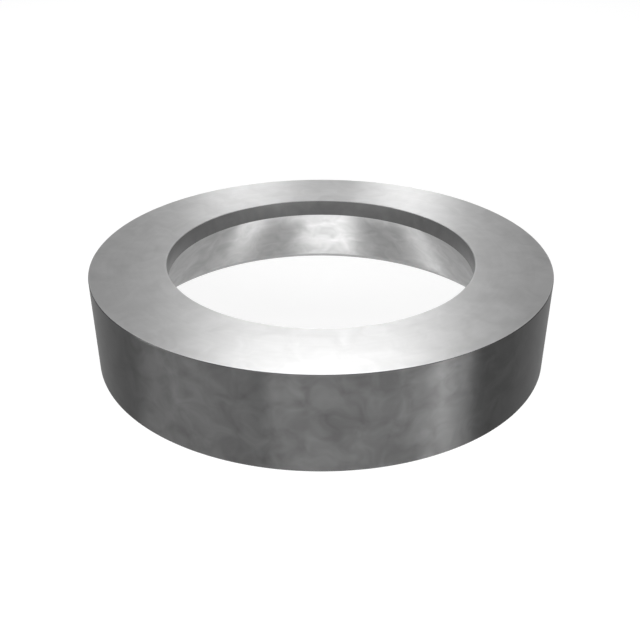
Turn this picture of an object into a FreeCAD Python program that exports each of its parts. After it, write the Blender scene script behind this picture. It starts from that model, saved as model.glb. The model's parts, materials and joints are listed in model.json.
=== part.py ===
import FreeCAD, Part
import math
import os

import Sketcher

# Rolled steel ring, machined all over: flat top and base, a straight outside wall, and a bore
# that starts as a short cylindrical land under the top face and then opens as a plain cone
# down to the base. The whole ring is one solid of revolution about Z.
# Millimetres; the origin is the centre of the base, +Z points up towards the land.

NODE = "rolled_ring"

# name in the sheet, value, what it measures
SIZES = (
    ("boreDiameter", 202.0, "diameter of the cylindrical land"),
    ("wallWidth", 49.0, "radial width of the top face, from the land to the outside wall"),
    ("ringHeight", 61.7, "height from the base to the top face"),
    ("landDepth", 11.7, "depth of the cylindrical land below the top face"),
    ("baseWidth", 14.4, "radial width of the base, from the mouth of the cone to the outside wall"),
    ("mouthChamfer", 3.7, "leg of the 45 degree chamfer where the cone meets the base"),
    ("edgeBreak", 0.4, "leg of the 45 degree break on the outside and top bore corners"),
)

# How near a corner circle's radius and height must be to its nominal place.
MATCH = 1e-4


def makeSheet(doc):
    sheet = doc.addObject("Spreadsheet::Sheet", "sizes")
    for row, (name, value, meaning) in enumerate(SIZES, start=1):
        sheet.set(f"A{row}", name)
        sheet.set(f"B{row}", str(value))
        sheet.setAlias(f"B{row}", name)
        sheet.set(f"C{row}", meaning)
    doc.recompute()
    return sheet


def originPlane(body, role):
    return next(plane for plane in body.Origin.OriginFeatures if plane.Role == role)


def drawSection(body, sheet):
    """Half section of the ring in the XZ plane, right of the axis, clockwise from the top bore corner."""
    sketch = body.newObject("Sketcher::SketchObject", "ringSection")
    sketch.AttachmentSupport = (originPlane(body, "XZ_Plane"), [""])
    sketch.MapMode = "FlatFace"

    boreRadius = sheet.boreDiameter / 2
    outerRadius = boreRadius + sheet.wallWidth
    mouthRadius = outerRadius - sheet.baseWidth
    landBottom = sheet.ringHeight - sheet.landDepth
    corners = [
        (boreRadius, sheet.ringHeight),
        (outerRadius, sheet.ringHeight),
        (outerRadius, 0),
        (mouthRadius, 0),
        (mouthRadius - sheet.mouthChamfer, sheet.mouthChamfer),
        (boreRadius, landBottom),
    ]
    points = [FreeCAD.Vector(across, up, 0) for across, up in corners]
    lines = [Part.LineSegment(start, end) for start, end in zip(points, points[1:] + points[:1])]
    top, outside, base, chamfer, cone, land = sketch.addGeometry(lines, False)

    for line, following in zip(range(len(lines)), [*range(1, len(lines)), 0]):
        sketch.addConstraint(Sketcher.Constraint("Coincident", line, 2, following, 1))
    for line in (top, base):
        sketch.addConstraint(Sketcher.Constraint("Horizontal", line))
    for line in (outside, land):
        sketch.addConstraint(Sketcher.Constraint("Vertical", line))
    sketch.addConstraint(Sketcher.Constraint("PointOnObject", base, 1, -1))

    # name, kind, where it is measured, value now, expression that drives it
    dimensions = (
        ("boreRadius", "DistanceX", (-1, 1, top, 1), boreRadius, "sizes.boreDiameter / 2"),
        ("topWidth", "DistanceX", (top, 1, top, 2), sheet.wallWidth, "sizes.wallWidth"),
        ("height", "DistanceY", (outside, 2, outside, 1), sheet.ringHeight, "sizes.ringHeight"),
        ("baseWidth", "DistanceX", (base, 2, base, 1), sheet.baseWidth, "sizes.baseWidth"),
        ("chamferAcross", "DistanceX", (chamfer, 2, chamfer, 1), sheet.mouthChamfer, "sizes.mouthChamfer"),
        ("chamferUp", "DistanceY", (chamfer, 1, chamfer, 2), sheet.mouthChamfer, "sizes.mouthChamfer"),
        ("landDepth", "DistanceY", (land, 1, land, 2), sheet.landDepth, "sizes.landDepth"),
    )
    for name, kind, place, value, expression in dimensions:
        index = sketch.addConstraint(Sketcher.Constraint(kind, *place, value))
        sketch.renameConstraint(index, name)
        sketch.setExpression(f"Constraints.{name}", expression)
    return sketch


def revolveSection(body, sketch):
    ring = body.newObject("PartDesign::Revolution", "ringTurned")
    ring.Profile = sketch
    ring.ReferenceAxis = (sketch, ["V_Axis"])
    ring.Angle = 360
    sketch.Visibility = False
    return ring


def cornerName(shape, radius, level):
    """Name of the circular edge of this radius at this height."""
    for number, edge in enumerate(shape.Edges, start=1):
        curve = edge.Curve
        if not isinstance(curve, Part.Circle):
            continue
        if abs(curve.Radius - radius) < MATCH and abs(curve.Center.z - level) < MATCH:
            return f"Edge{number}"
    raise ValueError(f"no corner of radius {radius} at height {level}")


def breakCorners(body, ring, sheet):
    """Small 45 degree break on the two outside corners and the top corner of the bore."""
    boreRadius = sheet.boreDiameter / 2
    outerRadius = boreRadius + sheet.wallWidth
    corners = (
        (boreRadius, sheet.ringHeight),
        (outerRadius, sheet.ringHeight),
        (outerRadius, 0),
    )
    edges = [cornerName(ring.Shape, radius, level) for radius, level in corners]
    breaks = body.newObject("PartDesign::Chamfer", "edgeBreaks")
    breaks.Base = (ring, edges)
    breaks.Size = sheet.edgeBreak
    breaks.setExpression("Size", "sizes.edgeBreak")
    return breaks


def buildRing(doc, sheet):
    body = doc.addObject("PartDesign::Body", NODE)
    body.Label = NODE
    sketch = drawSection(body, sheet)
    ring = revolveSection(body, sketch)
    doc.recompute()
    breakCorners(body, ring, sheet)
    doc.recompute()
    return body


def coneVolume(lowRadius, highRadius, height):
    """Volume of a cone frustum."""
    return math.pi * height / 3 * (lowRadius**2 + lowRadius * highRadius + highRadius**2)


def checkDocument(doc, body, sheet):
    for item in doc.Objects:
        if "Invalid" in item.State or "Error" in item.State:
            raise RuntimeError(f"{item.Label}: {item.State}")
    shape = body.Shape
    if shape.isNull() or not shape.isValid() or len(shape.Solids) != 1:
        raise RuntimeError(f"{body.Label} is not one sound solid")

    # The turned ring's volume, before the edge breaks, against its section worked out by hand.
    boreRadius = sheet.boreDiameter / 2
    outerRadius = boreRadius + sheet.wallWidth
    mouthRadius = outerRadius - sheet.baseWidth
    throatRadius = mouthRadius - sheet.mouthChamfer
    coneHeight = sheet.ringHeight - sheet.landDepth - sheet.mouthChamfer
    blank = coneVolume(outerRadius, outerRadius, sheet.ringHeight)
    hollow = coneVolume(boreRadius, boreRadius, sheet.landDepth)
    hollow += coneVolume(throatRadius, boreRadius, coneHeight)
    hollow += coneVolume(mouthRadius, throatRadius, sheet.mouthChamfer)
    turned = doc.getObject("ringTurned").Shape.Volume
    if abs(turned - (blank - hollow)) > 1e-6 * blank:
        raise RuntimeError(f"turned volume {turned} is not {blank - hollow}")


def main():
    doc = FreeCAD.newDocument("rolledRing")
    sheet = makeSheet(doc)
    body = buildRing(doc, sheet)
    checkDocument(doc, body, sheet)
    os.makedirs("parts", exist_ok=True)
    body.Shape.exportStep(f"parts/{body.Label}.step")
    box = body.Shape.BoundBox
    print(f"{body.Label}: {box.XLength:.1f} x {box.YLength:.1f} x {box.ZLength:.1f} mm, "
          f"{body.Shape.Volume / 1000:.1f} cm3, {len(body.Shape.Faces)} faces")


main()
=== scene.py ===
import bpy
import json
import math
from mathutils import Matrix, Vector


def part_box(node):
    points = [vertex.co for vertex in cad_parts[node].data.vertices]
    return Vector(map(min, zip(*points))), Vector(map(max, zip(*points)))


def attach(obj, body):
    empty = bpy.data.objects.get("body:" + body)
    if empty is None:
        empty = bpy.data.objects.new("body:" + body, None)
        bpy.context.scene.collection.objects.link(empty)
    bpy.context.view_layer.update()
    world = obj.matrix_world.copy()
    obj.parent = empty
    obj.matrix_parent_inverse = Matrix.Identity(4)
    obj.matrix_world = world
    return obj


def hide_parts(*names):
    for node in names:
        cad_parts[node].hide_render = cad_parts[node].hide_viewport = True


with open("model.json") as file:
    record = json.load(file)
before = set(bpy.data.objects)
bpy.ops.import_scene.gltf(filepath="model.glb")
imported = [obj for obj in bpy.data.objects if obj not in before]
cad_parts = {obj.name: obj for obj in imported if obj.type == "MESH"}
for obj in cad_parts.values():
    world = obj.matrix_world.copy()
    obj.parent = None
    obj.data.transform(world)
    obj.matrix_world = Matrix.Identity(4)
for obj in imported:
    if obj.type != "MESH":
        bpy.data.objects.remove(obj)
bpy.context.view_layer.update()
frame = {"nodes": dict(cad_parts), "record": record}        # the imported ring, in metres, its axis on Z and its base on z = 0
print("frame loaded:", ", ".join(sorted(frame["nodes"])))

# the ring's outside, height and bore come from the frame, the rest of its section from here
ringSettings = {
    "mouthRadius": 0.1356,      # where the mouth chamfer meets the base
    "mouthChamfer": 0.0037,     # its leg, at 45 degrees
    "edgeBreak": 0.0004,        # breaks on the other sharp corners, at 45 degrees
    "segments": 720,            # steps round the ring
    "faceRows": 10,             # rows across each broad face
    "breakRows": 3,             # rows across each chamfer or break
}
ringLow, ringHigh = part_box("rolled_ring")
outerRadius = (ringHigh.x - ringLow.x) / 2
ringHeight = ringHigh.z - ringLow.z
boreMount = next(mount for mount in frame["record"]["mounts"] if mount["name"] == "land_bore")
boreRadius = boreMount["dims"]["r_mm"] / 1000
landDepth = boreMount["dims"]["length_mm"] / 1000 + ringSettings["edgeBreak"]


def ringSection():
    # each stretch: finish, first corner, last corner, rows; clockwise from the top of the bore
    edge, chamfer = ringSettings["edgeBreak"], ringSettings["mouthChamfer"]
    mouth, coneTop = ringSettings["mouthRadius"], ringHeight - landDepth
    broad, narrow = ringSettings["faceRows"], ringSettings["breakRows"]
    corners = [
        ("topFace", (boreRadius + edge, ringHeight), broad),
        ("outerBreak", (outerRadius - edge, ringHeight), narrow),
        ("outsideWall", (outerRadius, ringHeight - edge), broad),
        ("outerBreak", (outerRadius, edge), narrow),
        ("baseFace", (outerRadius - edge, 0), broad),
        ("mouthChamfer", (mouth, 0), narrow),
        ("cone", (mouth - chamfer, chamfer), broad),
        ("land", (boreRadius, coneTop), broad),
        ("boreBreak", (boreRadius, ringHeight - edge), narrow),
    ]
    following = corners[1:] + corners[:1]
    return [
        (finish, start, after[1], rows)
        for (finish, start, rows), after in zip(corners, following)
    ]


def placeAlong(start, end, share):
    return tuple(a + (b - a) * share for a, b in zip(start, end))


# shader tools

def newGroup(name, inputs, outputs):
    group = bpy.data.node_groups.new(name, "ShaderNodeTree")
    for socketName, kind, value in inputs:
        socket = group.interface.new_socket(socketName, in_out="INPUT", socket_type=kind)
        socket.default_value = value
    for socketName, kind in outputs:
        group.interface.new_socket(socketName, in_out="OUTPUT", socket_type=kind)
    return group, group.nodes.new("NodeGroupInput").outputs, group.nodes.new("NodeGroupOutput").inputs


def grey(value):
    return (value, value, value, 1)


def feed(tree, socket, value):
    if isinstance(value, bpy.types.NodeSocket):
        tree.links.new(value, socket)
    else:
        socket.default_value = value


def calculate(tree, operation, *values, clamp=False):
    node = tree.nodes.new("ShaderNodeMath")
    node.operation = operation
    node.use_clamp = clamp
    for socket, value in zip(node.inputs, values):
        feed(tree, socket, value)
    return node.outputs["Value"]


def scaleVector(tree, vector, factor):
    node = tree.nodes.new("ShaderNodeVectorMath")
    node.operation = "SCALE"
    feed(tree, node.inputs["Vector"], vector)
    feed(tree, node.inputs["Scale"], factor)
    return node.outputs["Vector"]


def mixColours(tree, share, first, last):
    node = tree.nodes.new("ShaderNodeMix")
    node.data_type = "RGBA"
    feed(tree, node.inputs["Factor"], share)
    colours = [socket for socket in node.inputs if socket.type == "RGBA"]
    feed(tree, colours[0], first)
    feed(tree, colours[1], last)
    return next(socket for socket in node.outputs if socket.type == "RGBA")


noiseMiddle = 0.5        # a noise texture swings evenly about this


def noise(tree, dimensions, place, detail):
    node = tree.nodes.new("ShaderNodeTexNoise")
    node.noise_dimensions = dimensions
    feed(tree, node.inputs["W" if dimensions == "1D" else "Vector"], place)
    node.inputs["Scale"].default_value = 1
    node.inputs["Detail"].default_value = detail
    return node


def placeGroup(tree, group, values):
    node = tree.nodes.new("ShaderNodeGroup")
    node.node_tree = group
    for name, value in values.items():
        feed(tree, node.inputs[name], value)
    return node.outputs


# where a point lies on the ring's section
def buildSectionPlace():
    group, _, given = newGroup("sectionPlace", [], [
        ("Position", "NodeSocketVector"), ("Radius", "NodeSocketFloat"), ("Height", "NodeSocketFloat"),
    ])
    position = group.nodes.new("ShaderNodeTexCoord").outputs["Object"]
    split = group.nodes.new("ShaderNodeSeparateXYZ")
    feed(group, split.inputs["Vector"], position)
    acrossSquared = calculate(group, "MULTIPLY", split.outputs["X"], split.outputs["X"])
    squared = calculate(group, "MULTIPLY_ADD", split.outputs["Y"], split.outputs["Y"], acrossSquared)
    feed(group, given["Position"], position)
    feed(group, given["Radius"], calculate(group, "SQRT", squared))
    feed(group, given["Height"], split.outputs["Z"])
    return group


# the tool's feed lines, which run round the ring and fade in and out
grainSettings = {
    "bandLines": 11,        # feed lines in one broader band
    "fadeLength": 0.02,     # how far a line runs before it fades
    "fadeDetail": 2,
    "lineDetail": 2,
}


def buildTurnedGrain(sectionPlace):
    group, taken, given = newGroup("turnedGrain", [
        ("Radius Share", "NodeSocketFloat", 1), ("Height Share", "NodeSocketFloat", 0),
        ("Line Width", "NodeSocketFloat", 0.0003),
    ], [("Lines", "NodeSocketFloat"), ("Bands", "NodeSocketFloat")])
    place = placeGroup(group, sectionPlace, {})
    up = calculate(group, "MULTIPLY", place["Height"], taken["Height Share"])
    across = calculate(group, "MULTIPLY_ADD", place["Radius"], taken["Radius Share"], up)
    line = calculate(group, "DIVIDE", across, taken["Line Width"])
    band = calculate(group, "DIVIDE", line, grainSettings["bandLines"])
    along = scaleVector(group, place["Position"], 1 / grainSettings["fadeLength"])
    fade = noise(group, "3D", along, grainSettings["fadeDetail"]).outputs["Fac"]
    for name, where in (("Lines", line), ("Bands", band)):
        ridge = noise(group, "1D", where, grainSettings["lineDetail"]).outputs["Fac"]
        swing = calculate(group, "SUBTRACT", ridge, noiseMiddle)
        feed(group, given[name], calculate(group, "MULTIPLY", swing, fade))
    return group


# the faint clouds of a surface that has been handled, wiped and stored
mottleSettings = {
    "detail": 2,
    "roughness": 0.55,      # how strong the finer clouds are
    "drift": 0.8,           # how far the clouds are pushed out of round
}


def buildMottle(sectionPlace):
    group, taken, given = newGroup("mottle", [
        ("Cloud Size", "NodeSocketFloat", 0.012),
    ], [("Clouds", "NodeSocketFloat")])
    place = placeGroup(group, sectionPlace, {})
    cloudPlace = scaleVector(group, place["Position"], calculate(group, "DIVIDE", 1, taken["Cloud Size"]))
    clouds = noise(group, "3D", cloudPlace, mottleSettings["detail"])
    clouds.inputs["Roughness"].default_value = mottleSettings["roughness"]
    clouds.inputs["Distortion"].default_value = mottleSettings["drift"]
    feed(group, given["Clouds"], calculate(group, "SUBTRACT", clouds.outputs["Fac"], noiseMiddle))
    return group


# metal rubbed bright beside a corner of the section
wearSettings = {
    "breakUp": 0.006,       # length of the rubbed spots along the edge
    "spotDetail": 3,
}


def buildEdgeWear(sectionPlace):
    group, taken, given = newGroup("edgeWear", [
        ("Corner Radius", "NodeSocketFloat", 0), ("Corner Height", "NodeSocketFloat", 0),
        ("Reach", "NodeSocketFloat", 0.001),
    ], [("Wear", "NodeSocketFloat")])
    place = placeGroup(group, sectionPlace, {})
    out = calculate(group, "SUBTRACT", place["Radius"], taken["Corner Radius"])
    up = calculate(group, "SUBTRACT", place["Height"], taken["Corner Height"])
    upSquared = calculate(group, "MULTIPLY", up, up)
    away = calculate(group, "SQRT", calculate(group, "MULTIPLY_ADD", out, out, upSquared))
    near = calculate(group, "SUBTRACT", 1, calculate(group, "DIVIDE", away, taken["Reach"]), clamp=True)
    spotPlace = scaleVector(group, place["Position"], 1 / wearSettings["breakUp"])
    spots = noise(group, "3D", spotPlace, wearSettings["spotDetail"]).outputs["Fac"]
    feed(group, given["Wear"], calculate(group, "MULTIPLY", near, spots))
    return group


# one steel surface: its colour, roughness and height from grain, mottle and wear, laid on the given steel
# tone, which carries the face's painted shade or painted highlight
def buildSteelSurface():
    sectionPlace = buildSectionPlace()
    grainGroup, mottleGroup = buildTurnedGrain(sectionPlace), buildMottle(sectionPlace)
    wearGroup = buildEdgeWear(sectionPlace)
    numbers = [
        "Roughness", "Radius Share", "Height Share", "Line Width", "Line Height", "Line Tone",
        "Cloud Size", "Cloud Tone", "Cloud Roughness", "Wave Height", "Wear Reach", "Wear Amount",
        "First Radius", "First Height", "Last Radius", "Last Height",
    ]
    inputs = [(name, "NodeSocketColor", grey(0.5)) for name in ("Steel", "Rubbed Steel")]
    inputs += [(name, "NodeSocketFloat", 0) for name in numbers]
    group, taken, given = newGroup("steelSurface", inputs, [
        ("Color", "NodeSocketColor"), ("Roughness", "NodeSocketFloat"), ("Height", "NodeSocketFloat"),
    ])
    grain = placeGroup(group, grainGroup, {
        name: taken[name] for name in ("Radius Share", "Height Share", "Line Width")
    })
    mottle = placeGroup(group, mottleGroup, {"Cloud Size": taken["Cloud Size"]})
    wears = [
        placeGroup(group, wearGroup, {
            "Corner Radius": taken[f"{corner} Radius"], "Corner Height": taken[f"{corner} Height"],
            "Reach": taken["Wear Reach"],
        })["Wear"]
        for corner in ("First", "Last")
    ]
    wear = calculate(group, "MULTIPLY", calculate(group, "MAXIMUM", *wears), taken["Wear Amount"], clamp=True)
    # colour
    grainTone = calculate(group, "ADD", grain["Lines"], grain["Bands"])
    lineTone = calculate(group, "MULTIPLY_ADD", grainTone, taken["Line Tone"], 1)
    tone = calculate(group, "MULTIPLY_ADD", mottle["Clouds"], taken["Cloud Tone"], lineTone)
    toned = scaleVector(group, taken["Steel"], tone)
    feed(group, given["Color"], mixColours(group, wear, toned, taken["Rubbed Steel"]))
    # roughness
    rough = calculate(group, "MULTIPLY_ADD", mottle["Clouds"], taken["Cloud Roughness"], taken["Roughness"])
    feed(group, given["Roughness"], rough)
    # height, in metres
    wave = calculate(group, "MULTIPLY", mottle["Clouds"], taken["Wave Height"])
    feed(group, given["Height"], calculate(group, "MULTIPLY_ADD", grainTone, taken["Line Height"], wave))
    return group


# how each face is finished; lengths in metres. The steel tones are lit and shaded copies of one steel:
# painted shade darkens the outside wall, land, mouth chamfer and outer breaks, and a painted glint brightens
# the bore break
finishAndPaintedLightSettings = {
    "topFace": {"steel": 0.57, "roughness": 0.32, "grainPull": 0.0, "lines": 0.00030, "cloudTone": 0.30},
    "cone": {"steel": 0.46, "roughness": 0.50, "grainPull": 1.0, "lines": 0.00025, "cloudTone": 0.65},
    # outside wall and land: steel darkened as painted shade
    "outsideWall": {"steel": 0.065, "roughness": 0.44, "grainPull": 1.0, "lines": 0.00035, "cloudTone": 1.00},
    "land": {"steel": 0.12, "roughness": 0.32, "grainPull": 0.0, "lines": 0.00022, "cloudTone": 0.50},
    "baseFace": {"steel": 0.50, "roughness": 0.35, "grainPull": 0.3, "lines": 0.00030, "cloudTone": 0.40},
    # mouth chamfer: steel darkened into a painted shade band
    "mouthChamfer": {"steel": 0.36, "roughness": 0.45, "grainPull": 0.8, "lines": 0.00025, "cloudTone": 0.30},
    # outer break: steel darkened into a painted shade line; bore break: steel brightened into a painted glint
    "outerBreak": {"steel": 0.08, "roughness": 0.35, "grainPull": 0.8, "lines": 0.00020, "cloudTone": 0.30},
    "boreBreak": {"steel": 0.45, "roughness": 0.35, "grainPull": 0.8, "lines": 0.00020, "cloudTone": 0.30},
}
sharedFinish = {
    "grainTurn": 0.25,          # a quarter turn lays the grain round the axis
    "lineHeight": 0.0000015,
    "lineTone": 0.10,
    "cloudSize": 0.014,
    "cloudRoughness": 0.05,
    "waveHeight": 0.00002,
    "wearReach": 0.0012,
    "wearAmount": 0.6,
    "rubbedGain": 1.35,         # how much brighter rubbed steel is
}


def buildFinish(name, steelSurface, start, end):
    finish = finishAndPaintedLightSettings[name]
    material = bpy.data.materials.new(name)
    material.use_nodes = True
    tree = material.node_tree
    shader = tree.nodes["Principled BSDF"]
    shader.inputs["Metallic"].default_value = 1
    shader.inputs["Anisotropic"].default_value = finish["grainPull"]
    shader.inputs["Anisotropic Rotation"].default_value = sharedFinish["grainTurn"]
    tangent = tree.nodes.new("ShaderNodeTangent")
    tangent.direction_type = "RADIAL"
    tangent.axis = "Z"
    feed(tree, shader.inputs["Tangent"], tangent.outputs["Tangent"])
    length = math.dist(start, end)
    surface = placeGroup(tree, steelSurface, {
        # the face's steel tone, darkened as painted shade or brightened as painted highlight
        "Steel": grey(finish["steel"]),
        "Rubbed Steel": grey(finish["steel"] * sharedFinish["rubbedGain"]),
        "Roughness": finish["roughness"],
        "Radius Share": (end[0] - start[0]) / length,
        "Height Share": (end[1] - start[1]) / length,
        "Line Width": finish["lines"],
        "Line Height": sharedFinish["lineHeight"],
        "Line Tone": sharedFinish["lineTone"],
        "Cloud Size": sharedFinish["cloudSize"],
        "Cloud Tone": finish["cloudTone"],
        "Cloud Roughness": sharedFinish["cloudRoughness"],
        "Wave Height": sharedFinish["waveHeight"],
        "Wear Reach": sharedFinish["wearReach"],
        "Wear Amount": sharedFinish["wearAmount"],
        "First Radius": start[0], "First Height": start[1],
        "Last Radius": end[0], "Last Height": end[1],
    })
    bump = tree.nodes.new("ShaderNodeBump")
    bump.inputs["Distance"].default_value = 1
    feed(tree, bump.inputs["Height"], surface["Height"])
    feed(tree, shader.inputs["Base Color"], surface["Color"])
    feed(tree, shader.inputs["Roughness"], surface["Roughness"])
    feed(tree, shader.inputs["Normal"], bump.outputs["Normal"])
    return material


def buildRing():
    section = ringSection()
    steelSurface = buildSteelSurface()
    materials = {}
    for finish, start, end, _ in section:
        if finish not in materials:
            materials[finish] = buildFinish(finish, steelSurface, start, end)
    order = list(materials)
    profile, rowFinish, creased = [], [], set()
    for finish, start, end, rows in section:
        creased.add(len(profile))
        profile += [placeAlong(start, end, row / rows) for row in range(rows)]
        rowFinish += [order.index(finish)] * rows
    rowCount, segments = len(profile), ringSettings["segments"]
    points = []
    for step in range(segments):
        angle = 2 * math.pi * step / segments
        points += [(r * math.cos(angle), r * math.sin(angle), z) for r, z in profile]
    faces = [
        (
            step * rowCount + row,
            step * rowCount + (row + 1) % rowCount,
            (step + 1) % segments * rowCount + (row + 1) % rowCount,
            (step + 1) % segments * rowCount + row,
        )
        for step in range(segments)
        for row in range(rowCount)
    ]
    mesh = bpy.data.meshes.new("ring")
    mesh.from_pydata(points, [], faces)
    for material in materials.values():
        mesh.materials.append(material)
    mesh.polygons.foreach_set("material_index", rowFinish * segments)
    mesh.polygons.foreach_set("use_smooth", [True] * len(faces))
    for edge in mesh.edges:     # a crease round every corner of the section
        first, last = (point % rowCount for point in edge.vertices)
        edge.use_edge_sharp = first == last and first in creased
    mesh.update()
    ring = bpy.data.objects.new("ring", mesh)
    bpy.context.scene.collection.objects.link(ring)
    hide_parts("rolled_ring")
    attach(ring, "root")
    print("ring built:", len(faces), "faces in", len(materials), "finishes")


buildRing()

# floor: pale, with the ring's own soft shadow
floorSettings = {
    "size": 12,
    "paint": 0.20,          # what the lamps light
    "glow": 0.87,           # what brings it up to white for the camera and in the steel
}


def buildFloor():
    bpy.ops.mesh.primitive_plane_add(size=floorSettings["size"], location=(0, 0, ringLow.z))
    floor = bpy.context.object
    floor.name = "floor"
    material = bpy.data.materials.new("paleFloor")
    material.use_nodes = True
    tree = material.node_tree
    tree.nodes.clear()
    paint = tree.nodes.new("ShaderNodeBsdfDiffuse")
    paint.inputs["Color"].default_value = grey(floorSettings["paint"])
    rays = tree.nodes.new("ShaderNodeLightPath").outputs
    seen = calculate(tree, "MAXIMUM", rays["Is Camera Ray"], rays["Is Glossy Ray"])
    seen = calculate(tree, "MAXIMUM", seen, rays["Is Transmission Ray"])
    glow = tree.nodes.new("ShaderNodeEmission")
    feed(tree, glow.inputs["Strength"], calculate(tree, "MULTIPLY", seen, floorSettings["glow"]))
    both = tree.nodes.new("ShaderNodeAddShader")
    feed(tree, both.inputs[0], paint.outputs["BSDF"])
    feed(tree, both.inputs[1], glow.outputs["Emission"])
    output = tree.nodes.new("ShaderNodeOutputMaterial")
    feed(tree, output.inputs["Surface"], both.outputs["Shader"])
    floor.data.materials.append(material)
    print("floor laid")


buildFloor()

# softboxes in a ring round the work: azimuth 0 is behind it, 90 to its right, both in degrees;
# width and height in metres, power in watts. Apart from rightPanel's, these values are those
# of a scratch fit, rounded, with some of the powers changed by hand
lampDistance = 2.0
lampSettings = {
    "frontPanel": {"azimuth": 185, "elevation": 18, "width": 1.3, "height": 0.45, "power": 47},
    "rightPanel": {"azimuth": 123, "elevation": 10, "width": 0.65, "height": 0.8, "power": 26},
    "leftPanel": {"azimuth": 260, "elevation": 22, "width": 0.55, "height": 0.35, "power": 10.5},
    "backPanel": {"azimuth": 0, "elevation": 40, "width": 0.65, "height": 0.2, "power": 3.1},
    "frontRightStrip": {"azimuth": 145, "elevation": 4, "width": 1.65, "height": 0.3, "power": 47},
    "frontLeftStrip": {"azimuth": 228, "elevation": 4, "width": 1.55, "height": 0.25, "power": 30},
    "backRightSpot": {"azimuth": 8, "elevation": 19, "width": 0.2, "height": 0.35, "power": 0.6},
    "backLeftSpot": {"azimuth": 353, "elevation": 13, "width": 0.25, "height": 0.3, "power": 0.9},
}


def buildLamps():
    for name, lamp in lampSettings.items():
        data = bpy.data.lights.new(name, "AREA")
        data.shape = "RECTANGLE"
        data.size, data.size_y = lamp["width"], lamp["height"]
        data.energy = lamp["power"]
        azimuth, elevation = math.radians(lamp["azimuth"]), math.radians(lamp["elevation"])
        level = math.cos(elevation)
        outward = Vector((math.sin(azimuth) * level, math.cos(azimuth) * level, math.sin(elevation)))
        softbox = bpy.data.objects.new(name, data)
        softbox.location = outward * lampDistance
        softbox.rotation_euler = outward.to_track_quat("Z", "Y").to_euler()
        bpy.context.scene.collection.objects.link(softbox)
    print("lamps hung:", len(lampSettings))


buildLamps()

# the room: white where it meets the floor, grey above
roomSettings = {
    "wall": 1.0,
    "ceiling": 0.35,
    "sweep": 0.2,           # height at which the white has faded, as the sine of its elevation
}


def buildRoom():
    world = bpy.data.worlds.new("room")
    bpy.context.scene.world = world
    world.use_nodes = True
    tree = world.node_tree
    split = tree.nodes.new("ShaderNodeSeparateXYZ")
    feed(tree, split.inputs["Vector"], tree.nodes.new("ShaderNodeTexCoord").outputs["Generated"])
    fade = tree.nodes.new("ShaderNodeMapRange")
    fade.interpolation_type = "SMOOTHSTEP"
    feed(tree, fade.inputs["Value"], split.outputs["Z"])
    fade.inputs["From Max"].default_value = roomSettings["sweep"]
    fade.inputs["To Min"].default_value = roomSettings["wall"]
    fade.inputs["To Max"].default_value = roomSettings["ceiling"]
    feed(tree, tree.nodes["Background"].inputs["Color"], fade.outputs["Result"])


buildRoom()

# camera; distances in outer radii of the ring
cameraSettings = {
    "lens": 47,
    "distance": 3.85,       # from the aim point
    "elevation": 28.5,
    "aimHeight": 0.08,      # above the base, on the axis
    "aimAside": -0.004,
}


def placeCamera():
    data = bpy.data.cameras.new("camera")
    data.lens = cameraSettings["lens"]
    camera = bpy.data.objects.new("camera", data)
    elevation = math.radians(cameraSettings["elevation"])
    axisPoint = Vector((0, 0, cameraSettings["aimHeight"])) * outerRadius
    back = Vector((0, -math.cos(elevation), math.sin(elevation)))
    camera.location = axisPoint + back * cameraSettings["distance"] * outerRadius
    aim = axisPoint + Vector((cameraSettings["aimAside"], 0, 0)) * outerRadius
    camera.rotation_euler = (camera.location - aim).to_track_quat("Z", "Y").to_euler()
    bpy.context.scene.collection.objects.link(camera)
    bpy.context.scene.camera = camera
    print("camera placed")


placeCamera()
bpy.context.scene.view_settings.view_transform = "Standard"
